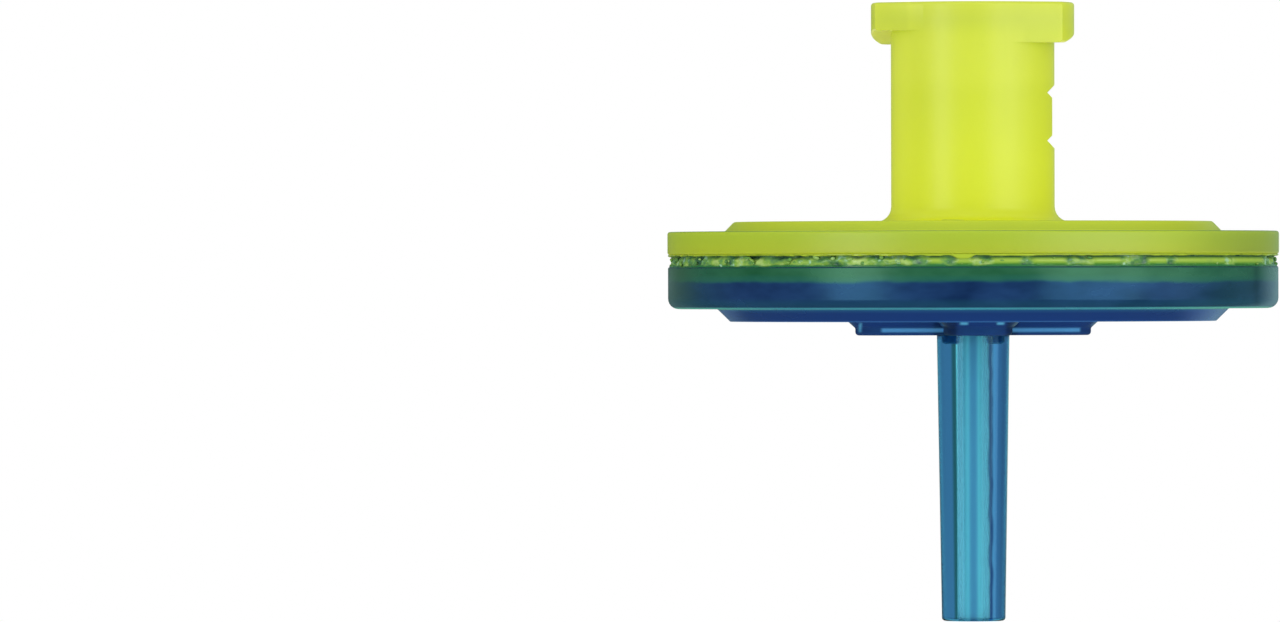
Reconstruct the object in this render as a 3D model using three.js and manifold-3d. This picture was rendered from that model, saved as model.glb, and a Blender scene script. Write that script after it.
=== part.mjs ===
// Syringe filter, 23.5 mm across: a welded inlet shell and outlet cup with a membrane disc clamped between them.
// Millimetres, +Z up. The origin is the centre of the inlet mouth, and the lugs point along X.

import * as THREE from 'three';
import * as BufferGeometryUtils from 'three/addons/utils/BufferGeometryUtils.js';
import Module from 'manifold-3d';

// Inlet socket: a female Luer lock, 6 % taper on diameter, with two lugs for a 5 mm lead thread.
const MOUTH_RADIUS = 2.14;
const MOUTH_CHAMFER = 0.1;
const SOCKET_DEPTH = 7.6;
const SOCKET_TAPER = 0.03;
const NECK_WALL = 1.01;
const NECK_LENGTH = 8.43;
const NECK_FILLET = 0.58;
const COLLAR_ROUNDING = 0.12;
const LUG_REACH = 0.765;
const LUG_HALF_ANGLE = 22.5;
const LUG_DEPTH = 1.325;
const LUG_ROUNDING = 0.1;
const LUG_LEAD = 5;
const LUG_RAMP_HALF_ANGLE = 17.3;

// Flow windows from the bottom of the socket into the inlet chamber.
const WINDOW_COUNT = 4;
const WINDOW_RADIAL = 0.55;
const WINDOW_WIDTH = 0.8;
const WINDOW_MARGIN = 0.15;

// Gate pad on the side of the neck, between two V grooves.
const PAD_TURN = 5.8;
const PAD_DEPTH_BELOW_MOUTH = 4.4;
const PAD_RECESS = 0.09;
const GROOVE_SPACING = 1.85;
const GROOVE_DEPTH = 0.29;
const GROOVE_WIDTH = 0.6;

// Moulding gate nub in a shallow dish on the raised step, behind the socket mouth on the -Y side.
const DISH_DISTANCE = 7.65;
const DISH_RADIUS = 1.45;
const DISH_DEPTH = 0.15;
const NUB_RADIUS = 0.45;
const NUB_HEIGHT = 0.2;

// Inlet shell: raised step, rim and the tongue that enters the outlet cup.
const STEP_RADIUS = 9.58;
const STEP_HEIGHT = 0.38;
const STEP_CHAMFER = 0.37;
const RIM_RADIUS = 11.775;
const RIM_HEIGHT = 0.89;
const RIM_ROUNDING = 0.1;
const TONGUE_CLEARANCE = 0.1;
const CHAMBER_DEPTH = 0.74;
const CEILING_RISE = 0.2;

// Weld bead squeezed out between the two rims.
const BEAD_HEIGHT = 0.47;
const BEAD_RECESS = 0.15;
const BEAD_BULGE = 0.08;

// Outlet cup: wall, floor, lower step, cross-shaped hub.
const CUP_INSET = 0.02;
const CUP_WALL = 0.78;
const CUP_DEPTH = 0.55;
const CUP_HEIGHT = 1.61;
const CUP_ROUNDING = 0.4;
const LOWER_STEP_RADIUS = 9.86;
const LOWER_STEP_HEIGHT = 0.49;
const LOWER_STEP_SLOPE = 0.5;
const HUB_TURN = 10.2;
const HUB_BAR_LENGTH = 9.1;
const HUB_BAR_WIDTH = 2.5;
const HUB_HEIGHT = 0.54;
const HUB_BEVEL = 0.25;
const HUB_FILLET = 0.22;

// Outlet tube and its bore.
const TUBE_LENGTH = 11;
const TUBE_TOP_RADIUS = 1.4;
const TUBE_TIP_RADIUS = 1.224;
const TUBE_TIP_ROUNDING = 0.13;
const BORE_RADIUS = 0.44;
const SUMP_RADIUS = 0.79;
const SUMP_DEPTH = 0.02;

// Membrane disc and the drain channels that hold it up.
const MEMBRANE_RADIUS = 9.4;
const MEMBRANE_THICKNESS = 0.18;
const MEMBRANE_CLEARANCE = 0.05;
const FILTER_RADIUS = 7.65;
const DRAIN_DEPTH = 0.4;
const RING_CHANNEL_WIDTH = 0.55;
const RING_CHANNEL_PITCH = 1.15;
const SPOKE_CHANNEL_WIDTH = 0.6;
const SPOKE_CHANNEL_COUNT = 8;

// Fineness of the round faces.
const TURNS = 72;
const SMALL_TURNS = 32;
const ARC_STEPS = 3;
const LUG_STEPS = 24;
const CUT_MARGIN = 0.5;

// Sizes that follow from those above.
const NECK_RADIUS = MOUTH_RADIUS + NECK_WALL;
const LUG_RADIUS = NECK_RADIUS + LUG_REACH;
const SOCKET_FLOOR_RADIUS = MOUTH_RADIUS - SOCKET_TAPER * SOCKET_DEPTH;
const CUP_RADIUS = RIM_RADIUS - CUP_INSET;
const CUP_BORE_RADIUS = CUP_RADIUS - CUP_WALL;
const TONGUE_RADIUS = CUP_BORE_RADIUS - TONGUE_CLEARANCE;
const POCKET_RADIUS = MEMBRANE_RADIUS + MEMBRANE_CLEARANCE;

const STEP_TOP = -NECK_LENGTH;
const RIM_TOP = STEP_TOP - STEP_HEIGHT;
const RIM_UNDER = RIM_TOP - RIM_HEIGHT;
const CUP_TOP = RIM_UNDER - BEAD_HEIGHT;
const LEDGE = CUP_TOP - CUP_DEPTH;
const MEMBRANE_TOP = LEDGE + MEMBRANE_THICKNESS;
const CEILING_EDGE = MEMBRANE_TOP + CHAMBER_DEPTH;
const CUP_UNDER = CUP_TOP - CUP_HEIGHT;
const LOWER_STEP_UNDER = CUP_UNDER - LOWER_STEP_HEIGHT;
const HUB_UNDER = LOWER_STEP_UNDER - HUB_HEIGHT;
const TUBE_TIP = HUB_UNDER - TUBE_LENGTH;

const wasm = await Module();
wasm.setup();

const radians = THREE.MathUtils.degToRad;

// A closed solid from a geometry whose outline is closed once its shared corners are joined.
function toSolid(geometry) {
  const bare = geometry.clone();
  bare.deleteAttribute('normal');
  bare.deleteAttribute('uv');
  const merged = BufferGeometryUtils.mergeVertices(bare, 1e-5);
  const corners = merged.index.array;
  const kept = [];
  for (let i = 0; i < corners.length; i += 3) {
    const [a, b, c] = corners.slice(i, i + 3);
    if (a !== b && b !== c && c !== a) {
      kept.push(a, b, c);
    }
  }
  return new wasm.Manifold(new wasm.Mesh({
    numProp: 3,
    vertProperties: new Float32Array(merged.attributes.position.array),
    triVerts: new Uint32Array(kept),
  }));
}

function toGeometry(solid) {
  const mesh = solid.getMesh();
  const geometry = new THREE.BufferGeometry();
  geometry.setAttribute('position', new THREE.BufferAttribute(mesh.vertProperties, 3));
  geometry.setIndex(new THREE.BufferAttribute(mesh.triVerts, 1));
  return geometry;
}

// Points along corners given as [x, y] or [x, y, rounding]. A rounding is limited by its shorter side.
function outline(corners) {
  const points = [];
  corners.forEach(([x, y, rounding], i) => {
    const corner = new THREE.Vector2(x, y);
    if (!rounding) {
      points.push(corner);
      return;
    }
    const back = new THREE.Vector2(...corners[i - 1].slice(0, 2)).sub(corner);
    const ahead = new THREE.Vector2(...corners[i + 1].slice(0, 2)).sub(corner);
    const room = Math.min(back.length(), ahead.length()) * 0.5;
    back.normalize();
    ahead.normalize();
    const half = Math.acos(THREE.MathUtils.clamp(back.dot(ahead), -1, 1)) / 2;
    const radius = Math.min(rounding, room * Math.tan(half));
    const middle = back.clone().add(ahead).normalize();
    const centre = corner.clone().addScaledVector(middle, radius / Math.sin(half));
    const first = corner.clone().addScaledVector(back, radius / Math.tan(half)).sub(centre);
    const last = corner.clone().addScaledVector(ahead, radius / Math.tan(half)).sub(centre);
    const sweep = Math.atan2(first.cross(last), first.dot(last));
    for (let step = 0; step <= ARC_STEPS; step += 1) {
      const spoke = first.clone().rotateAround(new THREE.Vector2(), sweep * step / ARC_STEPS);
      points.push(spoke.add(centre));
    }
  });
  return points;
}

// A turned solid about Z. Its corners are [radius, height, rounding], from the foot up to the top.
function turned(corners, turns = TURNS) {
  return new THREE.LatheGeometry(outline(corners), turns).rotateX(Math.PI / 2);
}

function cylinder(radius, bottom, top, turns = SMALL_TURNS) {
  return turned([[0, bottom], [radius, bottom], [radius, top], [0, top]], turns);
}

// The outline of the collar seen along Z: the round neck with two lugs whose sides are tangent to it.
function collarShape() {
  const shape = new THREE.Shape();
  const tip = radians(LUG_HALF_ANGLE);
  const root = tip + Math.acos(NECK_RADIUS / LUG_RADIUS);
  for (const side of [0, Math.PI]) {
    shape.absarc(0, 0, LUG_RADIUS, side - tip, side + tip);
    shape.absarc(0, 0, NECK_RADIUS, side + root, side + Math.PI - root);
  }
  return shape;
}

// A block bent around Z. Its underside climbs with the thread across the ramp and is level on both sides
// of it, and the lug's lower edge is rounded.
function helicalBlock(middle, halfAngle) {
  const section = new THREE.Shape(outline([
    [NECK_RADIUS - NECK_WALL / 2, CUT_MARGIN],
    [NECK_RADIUS - NECK_WALL / 2, -LUG_DEPTH],
    [LUG_RADIUS, -LUG_DEPTH, LUG_ROUNDING],
    [LUG_RADIUS, CUT_MARGIN],
  ]));
  const ramp = radians(LUG_RAMP_HALF_ANGLE);
  const block = new THREE.ExtrudeGeometry(section, {
    depth: 1,
    steps: LUG_STEPS,
    bevelEnabled: false,
  });
  const places = block.attributes.position;
  for (let i = 0; i < places.count; i += 1) {
    const angle = THREE.MathUtils.lerp(halfAngle, -halfAngle, places.getZ(i));
    const radius = places.getX(i);
    const climb = THREE.MathUtils.clamp(angle, -ramp, ramp);
    const rise = places.getY(i) > 0 ? 0 : LUG_LEAD * climb / (2 * Math.PI);
    places.setXYZ(
      i,
      radius * Math.cos(middle + angle),
      radius * Math.sin(middle + angle),
      places.getY(i) + rise,
    );
  }
  return block;
}

function lugs() {
  const collar = new THREE.ExtrudeGeometry(collarShape(), {
    depth: LUG_DEPTH + LUG_LEAD / 2,
    curveSegments: 12,
    bevelSize: COLLAR_ROUNDING,
    bevelThickness: COLLAR_ROUNDING,
    bevelOffset: -COLLAR_ROUNDING,
    bevelSegments: 3,
  });
  collar.translate(0, 0, -LUG_DEPTH - LUG_LEAD / 2 - COLLAR_ROUNDING);
  const whole = toSolid(collar);
  const span = radians(LUG_HALF_ANGLE) + Math.acos(NECK_RADIUS / LUG_RADIUS);
  return [0, Math.PI].map((side) => whole.intersect(toSolid(helicalBlock(side, span))));
}

function inletShell() {
  return toSolid(turned([
    [0, CEILING_EDGE + CEILING_RISE],
    [FILTER_RADIUS, CEILING_EDGE],
    [FILTER_RADIUS, MEMBRANE_TOP],
    [POCKET_RADIUS, MEMBRANE_TOP],
    [POCKET_RADIUS, LEDGE],
    [TONGUE_RADIUS, LEDGE],
    [TONGUE_RADIUS, RIM_UNDER],
    [RIM_RADIUS, RIM_UNDER, RIM_ROUNDING],
    [RIM_RADIUS, RIM_TOP, RIM_ROUNDING],
    [STEP_RADIUS, RIM_TOP],
    [STEP_RADIUS - STEP_CHAMFER, STEP_TOP, STEP_CHAMFER / 2],
    [NECK_RADIUS, STEP_TOP, NECK_FILLET],
    [NECK_RADIUS, 0, COLLAR_ROUNDING],
    [MOUTH_RADIUS + MOUTH_CHAMFER, 0],
    [MOUTH_RADIUS, -MOUTH_CHAMFER],
    [SOCKET_FLOOR_RADIUS, -SOCKET_DEPTH],
    [0, -SOCKET_DEPTH],
  ]));
}

// Slots at the edge of the socket floor, through to the chamber below.
function flowWindows() {
  const top = -SOCKET_DEPTH + CUT_MARGIN;
  const distance = SOCKET_FLOOR_RADIUS - WINDOW_MARGIN - WINDOW_RADIAL / 2;
  const windows = [];
  for (let i = 0; i < WINDOW_COUNT; i += 1) {
    const slot = new THREE.BoxGeometry(WINDOW_RADIAL, WINDOW_WIDTH, top - CEILING_EDGE);
    slot.translate(distance, 0, (top + CEILING_EDGE) / 2);
    slot.rotateZ(2 * Math.PI * i / WINDOW_COUNT);
    windows.push(toSolid(slot));
  }
  return windows;
}

// The pad is a flat on the side of the neck, and a V groove runs out on each side of it.
function gatePadCuts() {
  const flat = NECK_RADIUS - PAD_RECESS;
  const bottom = NECK_RADIUS - GROOVE_DEPTH;
  const outer = NECK_RADIUS + CUT_MARGIN;
  const spread = GROOVE_WIDTH / 2 * (outer - bottom) / GROOVE_DEPTH;
  const pad = new THREE.BoxGeometry(outer - flat, 2 * NECK_RADIUS, GROOVE_SPACING);
  pad.translate((flat + outer) / 2, 0, 0);
  const cuts = [pad];
  for (const side of [-1, 1]) {
    const section = new THREE.Shape([
      new THREE.Vector2(bottom, side * GROOVE_SPACING / 2),
      new THREE.Vector2(outer, side * GROOVE_SPACING / 2 - spread),
      new THREE.Vector2(outer, side * GROOVE_SPACING / 2 + spread),
    ]);
    const groove = new THREE.ExtrudeGeometry(section, { depth: 2 * NECK_RADIUS, bevelEnabled: false });
    cuts.push(groove.translate(0, 0, -NECK_RADIUS).rotateX(Math.PI / 2));
  }
  return cuts.map((cut) => {
    cut.translate(0, 0, -PAD_DEPTH_BELOW_MOUTH);
    return toSolid(cut.rotateZ(radians(PAD_TURN)));
  });
}

// The dish, less the nub that stands in its middle.
function gateDishCut() {
  const floor = STEP_TOP - DISH_DEPTH;
  const dish = turned([
    [0, floor],
    [DISH_RADIUS - DISH_DEPTH, floor],
    [DISH_RADIUS, STEP_TOP],
    [DISH_RADIUS, STEP_TOP + CUT_MARGIN],
    [0, STEP_TOP + CUT_MARGIN],
  ], SMALL_TURNS);
  return toSolid(dish.translate(0, -DISH_DISTANCE, 0));
}

function gateNub() {
  const floor = STEP_TOP - DISH_DEPTH;
  const nub = turned([
    [0, floor - DISH_DEPTH],
    [NUB_RADIUS, floor - DISH_DEPTH],
    [NUB_RADIUS, floor + NUB_HEIGHT, NUB_HEIGHT / 2],
    [0, floor + NUB_HEIGHT],
  ], SMALL_TURNS);
  return toSolid(nub.translate(0, -DISH_DISTANCE, 0));
}

function inletHousing() {
  let body = inletShell();
  for (const lug of lugs()) {
    body = body.add(lug);
  }
  for (const cut of [...flowWindows(), ...gatePadCuts(), gateDishCut()]) {
    body = body.subtract(cut);
  }
  return toGeometry(body.add(gateNub()));
}

function cupBody() {
  const slope = (TUBE_TOP_RADIUS - TUBE_TIP_RADIUS) / TUBE_LENGTH;
  return toSolid(turned([
    [0, TUBE_TIP],
    [TUBE_TIP_RADIUS, TUBE_TIP, TUBE_TIP_ROUNDING],
    [TUBE_TOP_RADIUS + slope * HUB_HEIGHT, LOWER_STEP_UNDER],
    [LOWER_STEP_RADIUS - LOWER_STEP_SLOPE, LOWER_STEP_UNDER],
    [LOWER_STEP_RADIUS, CUP_UNDER],
    [CUP_RADIUS, CUP_UNDER, CUP_ROUNDING],
    [CUP_RADIUS, CUP_TOP],
    [CUP_BORE_RADIUS, CUP_TOP],
    [CUP_BORE_RADIUS, LEDGE],
    [0, LEDGE],
  ]));
}

// A bar with round ends, grown outwards by a margin, from a bottom height up by a depth.
function roundBar(margin, bottom, depth, bevel) {
  const radius = HUB_BAR_WIDTH / 2;
  const reach = HUB_BAR_LENGTH / 2 - radius;
  const shape = new THREE.Shape();
  shape.absarc(reach, 0, radius + margin, -Math.PI / 2, Math.PI / 2);
  shape.absarc(-reach, 0, radius + margin, Math.PI / 2, 3 * Math.PI / 2);
  const bar = new THREE.ExtrudeGeometry(shape, {
    depth,
    curveSegments: 10,
    bevelSize: bevel.size,
    bevelThickness: bevel.size,
    bevelOffset: -bevel.size,
    bevelSegments: bevel.segments,
  });
  return bar.translate(0, 0, bottom + bevel.size);
}

// Two crossed bars under the cup floor, around the tube, each widened where it leaves the floor.
function hubBars() {
  const edge = { size: HUB_BEVEL, segments: 2 };
  const root = { size: HUB_FILLET, segments: 1 };
  const rootBottom = LOWER_STEP_UNDER - HUB_FILLET;
  const bars = [];
  for (const turn of [radians(HUB_TURN), radians(HUB_TURN) + Math.PI / 2]) {
    bars.push(toSolid(roundBar(0, HUB_UNDER, HUB_HEIGHT, edge).rotateZ(turn)));
    bars.push(toSolid(roundBar(HUB_FILLET, rootBottom, HUB_FILLET, root).rotateZ(turn)));
  }
  return bars;
}

// Channels in the cup floor: rings joined by spokes that lead to the sump.
function drainChannels() {
  const bottom = LEDGE - DRAIN_DEPTH;
  const top = LEDGE + CUT_MARGIN;
  const channels = [];
  const first = SUMP_RADIUS + RING_CHANNEL_PITCH / 2;
  for (let r = first; r + RING_CHANNEL_WIDTH < FILTER_RADIUS; r += RING_CHANNEL_PITCH) {
    const outer = r + RING_CHANNEL_WIDTH;
    channels.push(turned([[r, bottom], [outer, bottom], [outer, top], [r, top], [r, bottom]]));
  }
  for (let i = 0; i < SPOKE_CHANNEL_COUNT; i += 1) {
    const length = FILTER_RADIUS - RING_CHANNEL_WIDTH;
    const spoke = new THREE.BoxGeometry(length, SPOKE_CHANNEL_WIDTH, top - bottom);
    spoke.translate(length / 2, 0, (top + bottom) / 2);
    channels.push(spoke.rotateZ(2 * Math.PI * (i + 0.5) / SPOKE_CHANNEL_COUNT));
  }
  return channels.map(toSolid);
}

function outletBore() {
  const sump = HUB_UNDER - SUMP_DEPTH;
  return toSolid(turned([
    [0, TUBE_TIP - CUT_MARGIN],
    [BORE_RADIUS, TUBE_TIP - CUT_MARGIN],
    [BORE_RADIUS, sump - (SUMP_RADIUS - BORE_RADIUS)],
    [SUMP_RADIUS, sump],
    [SUMP_RADIUS, LEDGE + CUT_MARGIN],
    [0, LEDGE + CUT_MARGIN],
  ], SMALL_TURNS));
}

function outletHousing() {
  let body = cupBody();
  for (const bar of hubBars()) {
    body = body.add(bar);
  }
  for (const cut of [...drainChannels(), outletBore()]) {
    body = body.subtract(cut);
  }
  return toGeometry(body);
}

function weldBead() {
  const outer = RIM_RADIUS - BEAD_RECESS;
  return turned([
    [CUP_BORE_RADIUS, CUP_TOP],
    [outer, CUP_TOP],
    [outer + BEAD_BULGE, CUP_TOP + BEAD_HEIGHT / 2, BEAD_HEIGHT / 2],
    [outer, RIM_UNDER],
    [CUP_BORE_RADIUS, RIM_UNDER],
    [CUP_BORE_RADIUS, CUP_TOP],
  ]);
}

function piece(name, geometry, color, roughness) {
  const material = new THREE.MeshStandardMaterial({ color, roughness, metalness: 0 });
  const mesh = new THREE.Mesh(geometry, material);
  mesh.name = name;
  return mesh;
}

const syringeFilter = new THREE.Group();
syringeFilter.add(
  piece('inlet_housing', inletHousing(), 0xcfdf3c, 0.4),
  piece('outlet_housing', outletHousing(), 0x1f5f93, 0.25),
  piece('weld_bead', weldBead(), 0x7db765, 0.5),
  piece('filter_membrane', cylinder(MEMBRANE_RADIUS, LEDGE, MEMBRANE_TOP, TURNS), 0xf4f4ee, 0.9),
);

export default syringeFilter;
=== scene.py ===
"""Syringe filter: a milky yellow-green inlet shell welded to a clear blue outlet cup, membrane between."""

import math

import bmesh
import bpy
from mathutils import Matrix, Quaternion, Vector, noise


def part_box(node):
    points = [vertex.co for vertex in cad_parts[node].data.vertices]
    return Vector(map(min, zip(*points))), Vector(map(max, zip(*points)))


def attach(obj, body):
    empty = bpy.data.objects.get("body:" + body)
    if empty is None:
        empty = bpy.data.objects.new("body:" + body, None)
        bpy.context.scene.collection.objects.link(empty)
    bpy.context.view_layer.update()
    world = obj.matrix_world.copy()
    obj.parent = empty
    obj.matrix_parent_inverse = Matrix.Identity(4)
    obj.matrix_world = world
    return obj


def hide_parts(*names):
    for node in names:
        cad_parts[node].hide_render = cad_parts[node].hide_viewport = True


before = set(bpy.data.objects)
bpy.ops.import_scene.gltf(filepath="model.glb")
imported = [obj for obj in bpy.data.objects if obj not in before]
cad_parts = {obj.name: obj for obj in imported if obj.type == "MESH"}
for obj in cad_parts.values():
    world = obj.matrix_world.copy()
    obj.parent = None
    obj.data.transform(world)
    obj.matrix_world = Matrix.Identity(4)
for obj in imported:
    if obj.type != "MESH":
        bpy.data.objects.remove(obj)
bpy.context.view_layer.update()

# ---------------------------------------------------------------- sizes, in millimetres

MM = 0.001
HAIR = 1e-5
FAR = 1000.0


def box_mm(node):
    """A node's lowest and highest corners, in millimetres."""
    return [[value / MM for value in corner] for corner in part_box(node)]


INLET_HIGH = box_mm("inlet_housing")[1]
OUTLET_LOW, OUTLET_HIGH = box_mm("outlet_housing")
BEAD_LOW, BEAD_HIGH = box_mm("weld_bead")
MEMBRANE_LOW, MEMBRANE_HIGH = box_mm("filter_membrane")

# Heights that the frame gives.
MOUTH = INLET_HIGH[2]
RIM_UNDER = BEAD_HIGH[2]
CUP_TOP = BEAD_LOW[2]
LEDGE = MEMBRANE_LOW[2]
MEMBRANE_TOP = MEMBRANE_HIGH[2]
TUBE_TIP = OUTLET_LOW[2] + HAIR

# Radii that the frame gives.
RIM_RADIUS = INLET_HIGH[0]
CUP_RADIUS = OUTLET_HIGH[0]
MEMBRANE_RADIUS = MEMBRANE_HIGH[0]

# Inlet neck, socket and lugs.
MOUTH_RADIUS = 2.14
MOUTH_CHAMFER = 0.1
SOCKET_DEPTH = 7.6
SOCKET_TAPER = 0.03
NECK_RADIUS = 3.15
NECK_FILLET = 0.58
COLLAR_ROUNDING = 0.12
LUG_RADIUS = 3.915
LUG_HALF_ANGLE = math.radians(22.5)
LUG_DEPTH = 1.325
LUG_ROUNDING = 0.1
LUG_LEAD = 5.0
LUG_RAMP_HALF_ANGLE = math.radians(17.3)
SOCKET_FLOOR_RADIUS = MOUTH_RADIUS - SOCKET_TAPER * SOCKET_DEPTH

WINDOW_COUNT = 4
WINDOW_RADIAL = 0.55
WINDOW_WIDTH = 0.8
WINDOW_MARGIN = 0.15

PAD_TURN = math.radians(5.8)
PAD_HEIGHT = -4.4
PAD_RECESS = 0.09
GROOVE_SPACING = 1.85
GROOVE_DEPTH = 0.29
GROOVE_WIDTH = 0.6

DISH_DISTANCE = 7.65
DISH_RADIUS = 1.45
DISH_DEPTH = 0.15
NUB_RADIUS = 0.45
NUB_HEIGHT = 0.2

# Inlet shell.
STEP_TOP = -8.43
STEP_HEIGHT = 0.38
STEP_RADIUS = 9.58
STEP_ROOT_ROUNDING = 0.05
STEP_CHAMFER = 0.37
RIM_TOP = STEP_TOP - STEP_HEIGHT
RIM_ROUNDING = 0.1
TONGUE_CLEARANCE = 0.1
CUP_WALL = 0.78
CUP_BORE_RADIUS = CUP_RADIUS - CUP_WALL
TONGUE_RADIUS = CUP_BORE_RADIUS - TONGUE_CLEARANCE
SEAT_RADIUS = MEMBRANE_RADIUS + 0.05
FILTER_RADIUS = 7.65
CEILING_EDGE = MEMBRANE_TOP + 0.74
CEILING_RISE = 0.2

# Outlet cup, hub and tube.
CUP_UNDER = CUP_TOP - 1.61
CUP_ROUNDING = 0.4
CUP_LIP_ROUNDING = 0.06
LOWER_STEP_UNDER = CUP_UNDER - 0.49
LOWER_STEP_RADIUS = 9.86
LOWER_STEP_SLOPE = 0.5
LOWER_STEP_ROUNDING = 0.06
LOWER_STEP_ROOT_ROUNDING = 0.15
HUB_UNDER = LOWER_STEP_UNDER - 0.54
HUB_TURN = math.radians(10.2)
HUB_BAR_LENGTH = 9.1
HUB_BAR_WIDTH = 2.5
HUB_BEVEL = 0.25
HUB_FILLET = 0.3
TUBE_TOP_RADIUS = 1.4
TUBE_TIP_RADIUS = 1.224
TUBE_TIP_ROUNDING = 0.13
BORE_RADIUS = 0.415
SUMP_RADIUS = 0.79
SUMP_FLOOR = HUB_UNDER + 0.15
POCKET_DEPTH = 0.33
POCKET_WIDTH = 0.3
POCKET_REACH = 0.88
DRAIN_DEPTH = 0.4
RING_CHANNEL_WIDTH = 0.55
RING_CHANNEL_PITCH = 1.15
SPOKE_CHANNEL_WIDTH = 0.6
SPOKE_CHANNEL_COUNT = 8
SPOKE_OVERLAP = 0.2

# Melt of the weld. Angles are in degrees round from +X. Levels run from 0 at its foot to 1 at its top.
WELD_RADIUS = RIM_RADIUS - 0.13
WELD_HEIGHT = RIM_UNDER - CUP_TOP
WELD_COLUMNS = 1440
WELD_ROWS = 16
STRETCH_SOFTNESS = 0.8
LIP_LEVEL = 0.87
LIP_SOFTNESS = 0.04
SAG_DROP = 0.22
FOOT_LEVEL = 0.13
FOOT_SOFTNESS = 0.05
BEAD_LEVEL = 0.47
BEAD_HALF_HEIGHT = 0.33
BEAD_BULGE = 0.1
COARSE_ROUGHNESS = 0.1
FINE_ROUGHNESS = 0.06
UNDERCUT = 0.08
SMOOTH_STRETCHES = (
    (-92.5, -90.0), (-87.5, -84.2), (-80.6, -75.2), (-73.1, -66.6),
    (-61.2, -55.4), (-49.8, -45.3), (-43.6, -29.1), (-25.6, -11.8),
)
SAGGED_STRETCHES = ((-87.6, -84.4),)
CRUMB_ARCS = ((-185, -92, 48), (-90, -60, 8), (-60, -10, 6), (-5, 88, 48), (90, 175, 14))

# How finely the shapes are drawn, and by how much a cut runs past the surface that it opens.
CUT_MARGIN = 0.5
OVERLAP = 0.01
DISC_TURNS = 288
SMALL_TURNS = 64
ROUNDING_STEPS = 6
LUG_ROUNDING_STEPS = 8
LUG_STEPS = 72
LUG_ARC_STEPS = 24
NECK_ARC_STEPS = 32
HUB_END_STEPS = 32
POCKET_END_STEPS = 16
SHARP_DEGREES = 30
WELD_SHARP_DEGREES = 60

# ---------------------------------------------------------------- nodes


def srgb(red, green, blue):
    """A colour given in 0 to 255 display values, as the linear colour that a shader takes."""
    linear = []
    for value in (red, green, blue):
        share = value / 255
        linear.append(share / 12.92 if share <= 0.04045 else ((share + 0.055) / 1.055) ** 2.4)
    return (*linear, 1.0)


def is_socket(value):
    return isinstance(value, bpy.types.NodeSocket)


def as_colour(value):
    """A socket or a linear colour of four values as it is, and display values as a linear colour."""
    return value if is_socket(value) or len(value) == 4 else srgb(*value)


def add(tree, kind, inputs=None, **settings):
    """A node with its settings and inputs. An input given as a socket is linked, any other is set."""
    node = tree.nodes.new(kind)
    for name, value in settings.items():
        setattr(node, name, value)
    for name, value in (inputs or {}).items():
        if is_socket(value):
            tree.links.new(value, node.inputs[name])
        else:
            node.inputs[name].default_value = value
    return node


def maths(tree, operation, first, second=0.0, clamp=False):
    return add(tree, "ShaderNodeMath", {0: first, 1: second}, operation=operation, use_clamp=clamp).outputs[0]


def ramp(tree, value, low, high, start=0.0, end=1.0, soft=False):
    """A value that goes from start to end while another goes from low to high."""
    inputs = {"Value": value, "From Min": low, "From Max": high, "To Min": start, "To Max": end}
    kind = "SMOOTHSTEP" if soft else "LINEAR"
    return add(tree, "ShaderNodeMapRange", inputs, interpolation_type=kind).outputs["Result"]


def blended(tree, mask, first, second):
    """One colour laid over another by a mask."""
    colours = {0: mask, 6: as_colour(first), 7: as_colour(second)}
    return add(tree, "ShaderNodeMix", colours, data_type="RGBA").outputs[2]


def colour_ramp(tree, value, stops):
    """A colour that runs through stops given as (position, colour)."""
    node = add(tree, "ShaderNodeValToRGB", {"Fac": value})
    elements = node.color_ramp.elements
    while len(elements) < len(stops):
        elements.new(0.5)
    for element, (position, colour) in zip(elements, stops):
        element.position = position
        element.color = as_colour(colour)
    return node.outputs["Color"]


def coordinates(tree, kind="Object"):
    return add(tree, "ShaderNodeTexCoord").outputs[kind]


def combined_xyz(tree, **parts):
    return add(tree, "ShaderNodeCombineXYZ", parts).outputs[0]


def separate_xyz(tree, vector):
    return add(tree, "ShaderNodeSeparateXYZ", {0: vector}).outputs


def turned_axes(tree, place, angle):
    """The X, Y and Z of a place along axes that are turned about the upright one by an angle."""
    turned_back = add(tree, "ShaderNodeVectorRotate", {
        "Vector": place, "Angle": -angle,
    }, rotation_type="Z_AXIS").outputs[0]
    return separate_xyz(tree, turned_back)


def new_group(name, inputs, outputs):
    """A shader node group with named inputs and their values, and named outputs, with its end sockets."""
    tree = bpy.data.node_groups.new(name, "ShaderNodeTree")
    for label, value in inputs.items():
        kind = "NodeSocketFloat" if isinstance(value, float) else "NodeSocketVector"
        tree.interface.new_socket(label, in_out="INPUT", socket_type=kind).default_value = value
    for label in outputs:
        tree.interface.new_socket(label, in_out="OUTPUT", socket_type="NodeSocketFloat")
    return tree, add(tree, "NodeGroupInput").outputs, add(tree, "NodeGroupOutput").inputs


def new_forms_tree(name, inputs):
    """A Geometry Nodes tree with inputs given as (name, kind), with its end sockets."""
    tree = bpy.data.node_groups.new(name, "GeometryNodeTree")
    for label, kind in inputs:
        tree.interface.new_socket(label, in_out="INPUT", socket_type="NodeSocket" + kind)
    tree.interface.new_socket("Geometry", in_out="OUTPUT", socket_type="NodeSocketGeometry")
    return tree, add(tree, "NodeGroupInput").outputs, add(tree, "NodeGroupOutput").inputs[0]


def finish_forms_tree(tree, instances, finish, result, smooth=False):
    """The end of a Geometry Nodes tree: its instances made real, smooth if asked, and given their finish."""
    real = add(tree, "GeometryNodeRealizeInstances", {"Geometry": instances}).outputs[0]
    if smooth:
        real = add(tree, "GeometryNodeSetShadeSmooth", {"Geometry": real}).outputs[0]
    finished = add(tree, "GeometryNodeSetMaterial", {"Geometry": real, "Material": finish})
    tree.links.new(finished.outputs[0], result)


# ---------------------------------------------------------------- shapes


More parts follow.
